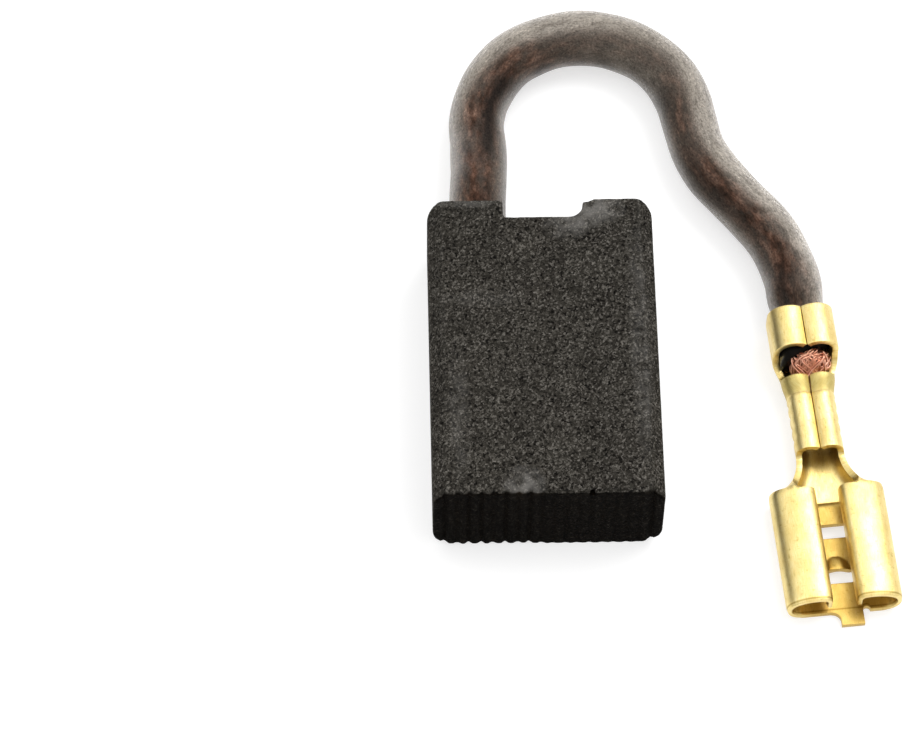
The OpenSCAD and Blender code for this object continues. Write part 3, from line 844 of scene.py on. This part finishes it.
def fine_rows():
    marks = [-STUB_L, 0, SLOT_START, BAR_U0, BAR_U1, STOP_U, NECK_U, WIRE_U, BELL_U, WINDOW_U, GRIP_U, END_U]
    rows = [marks[0]]
    for a, b in zip(marks, marks[1:]):
        steps = math.ceil((b - a) / (STUB_ROW if a < 0 else FINE_ROW))
        rows += [mix(a, b, (i + 1) / steps) for i in range(steps)]
    return np.array(rows)


def has_sheet(u, place):
    """Is there sheet at u, this many stretches to the right of the middle line?"""
    if u < 0:
        return STUB_X[0] < place * EAR_FLOOR < STUB_X[1]
    place = abs(place)
    if SLOT_START < u < BAR_U0 or BAR_U1 < u < STOP_U:
        return place > SLOT_EDGE
    if NECK_U < u < WIRE_U:
        return place < NECK_EDGE
    if WINDOW_U < u < GRIP_U:
        return place < WINDOW_EDGE
    return True


def fillet(distance, radius):
    """How far a round inner corner reaches at a distance from its wall."""
    d = min(max(distance, 0), radius)
    return radius - math.sqrt(radius**2 - (radius - d) ** 2)


def edge_rise(u):
    """How far the free edge of the neck or the window is raised at u, and the edge's place."""
    for start, end, edge, radii in (
        (NECK_U, WIRE_U, NECK_EDGE, NECK_R), (WINDOW_U, GRIP_U, WINDOW_EDGE, (WINDOW_R, WINDOW_R)),
    ):
        if start <= u <= end:
            return fillet(u - start, radii[0]) + fillet(end - u, radii[1]), edge
        if start - FADE < u < start:
            return radii[0] * ease(1 - (start - u) / FADE), edge
        if end < u < end + FADE:
            return radii[1] * ease(1 - (u - end) / FADE), edge
    return 0.0, WINDOW_EDGE


def raised_place(laws, u, place):
    """The place of a column once the free edge beside it is raised."""
    rise, edge = edge_rise(u)
    if rise == 0 or place <= 1:
        return place
    low, mid, high = run_to(laws, 1), run_to(laws, edge), run_to(laws, 5)
    rise = min(rise, 0.8 * (high - mid))
    length = run_to(laws, place)
    if length <= mid:
        return place_at(laws, low + (length - low) * (mid + rise - low) / (mid - low))
    return place_at(laws, mid + rise + (length - mid) * (high - mid - rise) / (high - mid))


def rounded_u(u, from_edge):
    """Rounds the rear corner of an ear's free edge: cells near it are drawn forward."""
    start = NECK_U - 2 * EAR_CORNER_R
    if not start < u <= NECK_U:
        return u
    return start + (u - start) * (1 - fillet(from_edge, EAR_CORNER_R) / (NECK_U - start))


def mouth_point(x, u, place):
    """Shapes the floor's front edge: the stub, its fillet on one side and its notch on the other."""
    if place > 1 or u > MOUTH_FADE:
        return x, u
    share = 1 - max(u, 0) / MOUTH_FADE
    reach = fillet(-u, STUB_FILLET_R) * share
    if u >= 0:
        u += share * math.sqrt(max(STUB_NOTCH_R**2 - (x - STUB_X[1] - STUB_NOTCH_R) ** 2, 0))
    if x <= STUB_X[0] + 1e-9:
        return -EAR_FLOOR + (x + EAR_FLOOR) * (STUB_X[0] + EAR_FLOOR - reach) / (STUB_X[0] + EAR_FLOOR), u
    if x < STUB_X[1]:
        return STUB_X[1] - (STUB_X[1] - x) * (STUB_W + reach) / STUB_W, u
    return x, u


def pressed(u, place, length):
    """How far the floor is pressed up: the stop panel and the locating dimple."""
    if place <= STOP_EDGE:
        rise = clamp((NECK_U - STOP_RUN - u) / STOP_RUN)
        side = clamp((STOP_EDGE * EAR_FLOOR - STOP_MARGIN - length) / STOP_RUN)
        if STOP_U - 1e-6 <= u < NECK_U:
            return STOP_H * ease(rise) * ease(side)
        reach = math.hypot(length / DIMPLE_R[0], (u - BAR_U0) / DIMPLE_R[1])
        if BAR_U0 <= u <= BAR_U1 and reach < 1:
            return DIMPLE_H * (1 - reach**2) ** DIMPLE_FULLNESS
    return 0.0


def ribs(u, place):
    """Depth of the grooves pressed across the conductor crimp, and of the crease at its bell."""
    start, end = WIRE_U + RIB_MARGIN[0], BELL_U - RIB_MARGIN[1]
    if abs(u - BELL_U) < 3 * CREASE_W:
        return CREASE_H * math.exp(-(((u - BELL_U) / CREASE_W) ** 2))
    if not start < u < end or place > RIB_EDGE:
        return 0.0
    wave = 0.5 - 0.5 * math.cos(2 * math.pi * RIB_COUNT * (u - start) / (end - start))
    return RIB_GAIN * RIB_H * wave**RIB_SHARPNESS * clamp((RIB_EDGE - place) / RIB_FADE)


def sheet_point(laws, u, place, side):
    """A point of the sheet's middle surface as [across, along, up], and its length from the middle."""
    moved = raised_place(laws, u, place)
    x, z, heading, length = follow(laws, moved)
    off = ribs(u, moved)
    x -= off * math.sin(heading)
    z += off * math.cos(heading) + pressed(u, place, length)
    across, along = mouth_point(side * x, rounded_u(u, run_to(laws, 5) - length), place)
    return across, along, SHEET / 2 + z, length


def make_terminal(material):
    rows, half = fine_rows(), fine_columns()
    places = np.concatenate([-half[:0:-1], half])
    width = len(places)
    verts, uvs, dull, deep, full = [], [], [], [], []
    for u in rows:
        laws = law(u)
        at_bell = ease(clamp((u - BELL_U + DULL_START) / DULL_FADE)) if u < WINDOW_U + DULL_FADE else 0.0
        at_rim = clamp(u / RIM_L) if u >= 0 else 1.0
        for place in places:
            side = -1 if place < 0 else 1
            across, along, up, length = sheet_point(laws, u, abs(place), side)
            verts.append(on_terminal(along, up, across))
            uvs.append((side * length, u))
            dull.append(DULL_BELL * at_bell)
            # Painted shade, kept as deep: on the floor between the ears and in the neck under the conductor
            # crimp
            ears_shade = ease(clamp((NECK_U - u) / RECESS_SHADE_FADE)) * clamp(EAR_SHADE_EDGE - abs(place))
            crimp_shade = math.exp(-(((u - WIRE_U) / RECESS_SHADE_FADE) ** 2)) * clamp(CRIMP_SHADE_EDGE - abs(place))
            deep.append(max(ears_shade, crimp_shade))
            full.append(mix(RIM_SHARE, 1, at_rim) if abs(place) > 1 else 1.0)
    faces = []
    for i, u in enumerate((rows[:-1] + rows[1:]) / 2):
        for j, place in enumerate((places[:-1] + places[1:]) / 2):
            if has_sheet(u, place):
                v = i * width + j
                faces.append((v, v + 1, v + 1 + width, v + width))
    used = sorted({v for f in faces for v in f})
    new_index = {v: n for n, v in enumerate(used)}
    faces = [tuple(new_index[v] for v in f) for f in faces]
    terminal = make_piece("terminal_sheet", [verts[v] for v in used], faces, material)
    layer = terminal.data.uv_layers.new(name="blank")
    for loop in terminal.data.loops:
        layer.data[loop.index].uv = uvs[used[loop.vertex_index]]
    for name, values in (("dull", dull), ("deep", deep)):
        store_value(terminal.data, name, [values[v] for v in used])
    thickness = terminal.vertex_groups.new(name="thickness")
    for n, v in enumerate(used):
        thickness.add([n], full[v], "REPLACE")
    solid = terminal.modifiers.new("sheet", "SOLIDIFY")
    solid.thickness = SHEET * MM
    solid.offset = 0
    solid.vertex_group = "thickness"
    rim = terminal.modifiers.new("rim", "BEVEL")
    rim.width = EDGE_BEVEL * MM
    rim.segments = 2
    rim.limit_method = "ANGLE"
    rim.angle_limit = math.radians(BEVEL_FROM)
    bake_modifiers(terminal, SHARP_FROM)
    terminal.vertex_groups.clear()
    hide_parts("terminal")
    return terminal


# ---- Loose wires in the terminal's window ----
STRAND_D = 0.115
STRAND_COUNT = 170
STRAND_SIDES = 6
STRAND_STEPS = 22
STRAND_SEED = 7
STRAND_TURN = 1.3  # how far a wire may turn round the bundle between two sections, in radians
STRAND_SHIFT = 0.1
STRAND_REACH = (0.75, 1.2)


def through(stops, f):
    """A smooth way through evenly spaced stops, at a share f of it."""
    x = f * (len(stops) - 1)
    k = min(int(x), len(stops) - 2)
    a, b, c, d = (stops[min(max(k + n, 0), len(stops) - 1)] for n in (-1, 0, 1, 2))
    return between(a, b, c, d, x - k)


def make_strands(material):
    """Loose copper wires that spread out between the sleeve's end and the conductor crimp."""
    rng = random.Random(STRAND_SEED)
    wire_lobe = lobe_radius(CRIMPED_COPPER_HALF, WIRE_TIP)
    tip_z = (
        WIRE_CRIMP_H - SHEET / 2 * (1 + math.sin(WING_TURN)) - wire_lobe * (1 - math.sin(WING_TURN))
        + WIRE_TIP * math.cos(WING_TURN)
    )
    wire_h = (tip_z - SHEET - RIB_H) / 2 - FIT_GAP
    wire_z = SHEET + RIB_H + FIT_GAP + wire_h
    # Sections that the bundle passes: place along the terminal and across it, middle height and half sizes
    sections = (
        (GRIP_U + 0.95, 0, GRIP_Z + CORE_Z, CORE_W * 0.9, CORE_H * 0.85),
        (GRIP_U + 0.35, 0.1, GRIP_Z + CORE_Z + 0.25, 1.15, 0.75),
        (GRIP_U - 0.2, 0.25, 2.1, 1.4, 1.25),
        (GRIP_U - 0.75, 0.2, 2.05, 1.35, 1.25),
        (WINDOW_U, 0, 1.5, 1.1, 0.85),
        (BELL_U, 0, wire_z, 0.93, wire_h * 0.88),
    )
    points, faces = [], []
    sides, steps = STRAND_SIDES, STRAND_STEPS
    for n in range(STRAND_COUNT):
        angle, reach = rng.uniform(0, 2 * math.pi), math.sqrt(rng.random())
        stops = []
        for u, side, z, half_w, half_h in sections:
            here = min(reach * rng.uniform(*STRAND_REACH), 1)
            x, up = here * math.cos(angle), here * math.sin(angle)
            shift = rng.uniform(-STRAND_SHIFT, STRAND_SHIFT)
            stops.append(on_terminal(u + shift, z + half_h * up, side + half_w * x))
            angle += rng.uniform(-STRAND_TURN, STRAND_TURN)
        base = len(points)
        line = [through(stops, k / (steps - 1)) for k in range(steps)]
        for k, centre in enumerate(line):
            ahead = (line[min(k + 1, steps - 1)] - line[max(k - 1, 0)]).normalized()
            one = ahead.cross(Vector((0, 0, 1))).normalized()
            two = one.cross(ahead)
            for t in (2 * math.pi * m / sides for m in range(sides)):
                points.append(centre + (one * math.cos(t) + two * math.sin(t)) * STRAND_D / 2)
        faces += tube_faces(steps, sides, base)
        faces.append(tuple(base + m for m in range(sides))[::-1])
        faces.append(tuple(base + (steps - 1) * sides + m for m in range(sides)))
    strands = make_piece("copper_strands", points, faces, material)
    return strands


# ---- Carbon block: the solid's own form with softened, crumbled edges ----
GRAIN_VOXEL = 0.12
SMOOTHING_ROUNDS = 3  # what they move marks the edges, which then crumble
SMOOTHING_SHARE = 0.6
GRAIN_DEPTH = 0.012
GRAIN_SCALES = (4.2, 8.5)  # waves for each millimetre, and below it the share of the finer ones
FINER_SHARE = 0.6
CRUMB_SCALE = 1.9
CRUMB_SEED = Vector((9, 4, 2))
CRUMBLE_DEPTH = 0.8  # in voxels
CRUMBLE_BASE = 0.25
# The contact face's grooves are worn down over this depth and between these places across the block
WORN_SHARE = 0.7
WORN_DEPTH = 0.3
WORN_FROM = -1.5
WORN_FADE = 2
WORN_TO = 6.3
GROUND_SHADE_DEPTH = 0.5  # what faces forward within this depth is darkened: freshly ground, and painted shade for a face turned from the light
LAND_DEPTH = 0.125  # the lands between the grooves, which are a little lighter
LAND_SHARE = 0.06
EDGE_SCUFF = 0.5
# Dents: place, radius and depth
DENTS = (
    ((-5.6, -10.3, 7), 0.24, 0.3),
    ((2.7, -10.95, 6.9), 0.28, 0.35),
    ((-3.8, -3.9, 7), 0.13, 0.1),
    ((-5.3, 2.2, 7), 0.11, 0.1),
    ((6.4, 6.3, 7), 0.15, 0.1),
    ((1.4, 7.0, 7), 0.1, 0.1),
)
# Scuffs: place, radii and strength
SCUFFS = (
    ((3.2, 10.2, 7), (2.6, 1.5, 3), 0.95),
    ((1.7, 8.9, 7), (1.7, 1.1, 3), 0.5),
    ((-1.6, -10.4, 7), (1.5, 1.5, 1.5), 0.9),
    ((-5.7, -5.0, 7), (0.8, 6.0, 1.5), 0.25),
    ((6.3, 0.0, 7), (0.8, 10.0, 2), 0.35),
    ((-3.9, 3.5, 7), (3.2, 0.8, 1), 0.14),
    ((-5.0, 10.8, 7), (2.4, 0.4, 1.2), 0.35),
)


def neighbour_mean(mesh, co):
    """The mean of each vertex's neighbours."""
    edges = np.empty(len(mesh.edges) * 2, np.int64)
    mesh.edges.foreach_get("vertices", edges)
    a, b = edges.reshape(-1, 2).T
    total, count = np.zeros_like(co), np.zeros(len(co))
    for p, q in ((a, b), (b, a)):
        np.add.at(total, p, co[q])
        np.add.at(count, p, 1)
    return total / count[:, None]


def vertex_normals(mesh):
    out = np.empty(len(mesh.vertices) * 3)
    mesh.vertices.foreach_get("normal", out)
    return out.reshape(-1, 3)


def grain_at(place):
    return noise.noise(place * GRAIN_SCALES[0]) + FINER_SHARE * noise.noise(place * GRAIN_SCALES[1])


def crumb_at(place):
    return noise.noise(place * CRUMB_SCALE + CRUMB_SEED)


def voxel_copy(source):
    """A mesh of even small cells in the form of a solid."""
    copy = bpy.data.objects.new("graphite_block", source.data.copy())
    bpy.context.scene.collection.objects.link(copy)
    voxels = copy.modifiers.new("voxels", "REMESH")
    voxels.mode = "VOXEL"
    voxels.voxel_size = GRAIN_VOXEL * MM
    graph = bpy.context.evaluated_depsgraph_get()
    mesh = bpy.data.meshes.new_from_object(copy.evaluated_get(graph))
    copy.modifiers.clear()
    copy.data = mesh
    return copy, mesh


def move_points(mesh, co):
    mesh.vertices.foreach_set("co", (co * MM).ravel())
    mesh.update()


def grooves_worn(co):
    """Points of the block once the contact face's grooves are worn down in its right half."""
    behind = co[:, 1] - block_low.y
    share = WORN_SHARE * ease(np.clip((co[:, 0] - WORN_FROM) / WORN_FADE, 0, 1)) * (abs(co[:, 0]) < WORN_TO)
    worn = co.copy()
    worn[:, 1] -= np.where(behind < WORN_DEPTH, behind * share, 0)
    return worn


def shade_block(mesh, flat, normals, worn, crumbs):
    """Stores where the block is scuffed, and where the contact face is darkened: freshly ground, with
    painted shade.
    """
    scuff = EDGE_SCUFF * np.clip(worn * 1.6, 0, 1) * np.clip(crumbs + 0.45, 0, 1)
    for place, radii, strength in SCUFFS:
        away = np.linalg.norm((flat - np.array(place)) / np.array(radii), axis=1)
        scuff += strength * np.clip(1 - away**2, 0, 1) * np.clip(0.7 + 1.1 * crumbs, 0.15, 1.2)
    behind = flat[:, 1] - block_low.y
    # Forward faces near the contact face: freshly ground colour and painted shade
    facing = np.clip(-1.3 * normals[:, 1], 0, 1) * (behind < GROUND_SHADE_DEPTH)
    lands = np.clip(1 - behind / LAND_DEPTH, 0, 1) * np.clip(0.6 + 1.5 * crumbs, 0, 1)
    store_value(mesh, "scuff", np.clip(scuff, 0, 1))
    store_value(mesh, "ground_and_shade", facing * (1 - LAND_SHARE * lands))


def make_block(material):
    """The block with softened, crumbled edges, dents, grain and worn grooves, inside the solid's box."""
    block, mesh = voxel_copy(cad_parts["carbon_block"])
    co = np.empty(len(mesh.vertices) * 3)
    mesh.vertices.foreach_get("co", co)
    flat = co.reshape(-1, 3) / MM
    co = flat.copy()
    for _ in range(SMOOTHING_ROUNDS):
        co = mix(co, neighbour_mean(mesh, co), SMOOTHING_SHARE)
    move_points(mesh, co)
    normals = vertex_normals(mesh)
    worn = np.linalg.norm(flat - co, axis=1) / GRAIN_VOXEL
    grains, crumbs = (np.array([make(Vector(p)) for p in co]) for make in (grain_at, crumb_at))
    crumbled = CRUMBLE_DEPTH * GRAIN_VOXEL * np.clip(crumbs + CRUMBLE_BASE, 0, 1)
    depth = GRAIN_DEPTH * grains + np.clip(worn, 0, 1) * crumbled
    for place, radius, deep in DENTS:
        away = np.linalg.norm(co - np.array(place), axis=1) / radius
        depth += deep * np.clip(1 - away**2, 0, 1) ** 1.5
    co = co - normals * np.maximum(depth, 0)[:, None]
    move_points(mesh, np.clip(grooves_worn(co), block_low, block_high))
    shade_block(mesh, flat, normals, worn, crumbs)
    mesh.polygons.foreach_set("use_smooth", [True] * len(mesh.polygons))
    mesh.materials.clear()
    mesh.materials.append(material)
    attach(block, "root")
    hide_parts("carbon_block")
    return block


# ---- Making: the cord first ----
sleeve, sleeve_line, sleeve_length = make_sleeve(silicone())
rope = make_rope(copper("copper_rope", 0.75))
terminal = make_terminal(brass())
strands = make_strands(copper("copper_strands", 0.1))
make_block(graphite())
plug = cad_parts["tamping_plug"]
plug.data.materials.clear()
plug.data.materials.append(copper_powder())


# ---- Floor and light ----
FLOOR_HALF = 1.5  # in metres
LAMP_AIM = Vector((0.006, 0.004, 0))
SKY_SIDE = 0.3  # how much the light grows to the right, and to the back
SKY_BACK = 0.2


def make_floor():
    mesh = bpy.data.meshes.new("floor")
    corners = [(FLOOR_HALF * x, FLOOR_HALF * y, 0) for x, y in ((-1, -1), (1, -1), (1, 1), (-1, 1))]
    mesh.from_pydata(corners, [], [(0, 1, 2, 3)])
    mesh.materials.append(floor_material())
    floor = bpy.data.objects.new("floor", mesh)
    bpy.context.scene.collection.objects.link(floor)


def make_lamp(name, place, size, watts):
    """A square soft lamp, sizes and place in metres, aimed at the object."""
    data = bpy.data.lights.new(name, "AREA")
    data.shape = "SQUARE"
    data.size = size
    data.energy = watts
    lamp = bpy.data.objects.new(name, data)
    lamp.location = place
    aim = LAMP_AIM - Vector(place)
    lamp.rotation_euler = aim.to_track_quat("-Z", "Y").to_euler()
    bpy.context.scene.collection.objects.link(lamp)


def make_world(strength):
    """Pale light from above, darker towards the horizon, the left and the front."""
    world = bpy.data.worlds.new("studio")
    bpy.context.scene.world = world
    world.use_nodes = True
    nodes, links = world.node_tree.nodes, world.node_tree.links
    place = nodes.new("ShaderNodeTexCoord").outputs["Generated"]
    split = nodes.new("ShaderNodeSeparateXYZ")
    links.new(place, split.inputs[0])
    side = add_math(nodes, links, "MULTIPLY", split.outputs["X"], SKY_SIDE)
    back = add_math(nodes, links, "MULTIPLY", split.outputs["Y"], SKY_BACK)
    tilt = add_math(nodes, links, "ADD", split.outputs["Z"], add_math(nodes, links, "ADD", side, back))
    tone = add_ramp(nodes, links, tilt, [(0.0, 0.58), (0.3, 0.80), (0.8, 1.0)])
    sky = nodes["Background"]
    links.new(tone, sky.inputs["Color"])
    sky.inputs["Strength"].default_value = strength


make_floor()
make_world(1.0)
make_lamp("key", (0.3, 0.25, 0.55), 0.4, 2.4)
make_lamp("fill", (-0.3, 0.1, 0.6), 0.4, 0.6)
bpy.context.scene.view_settings.view_transform = "Standard"
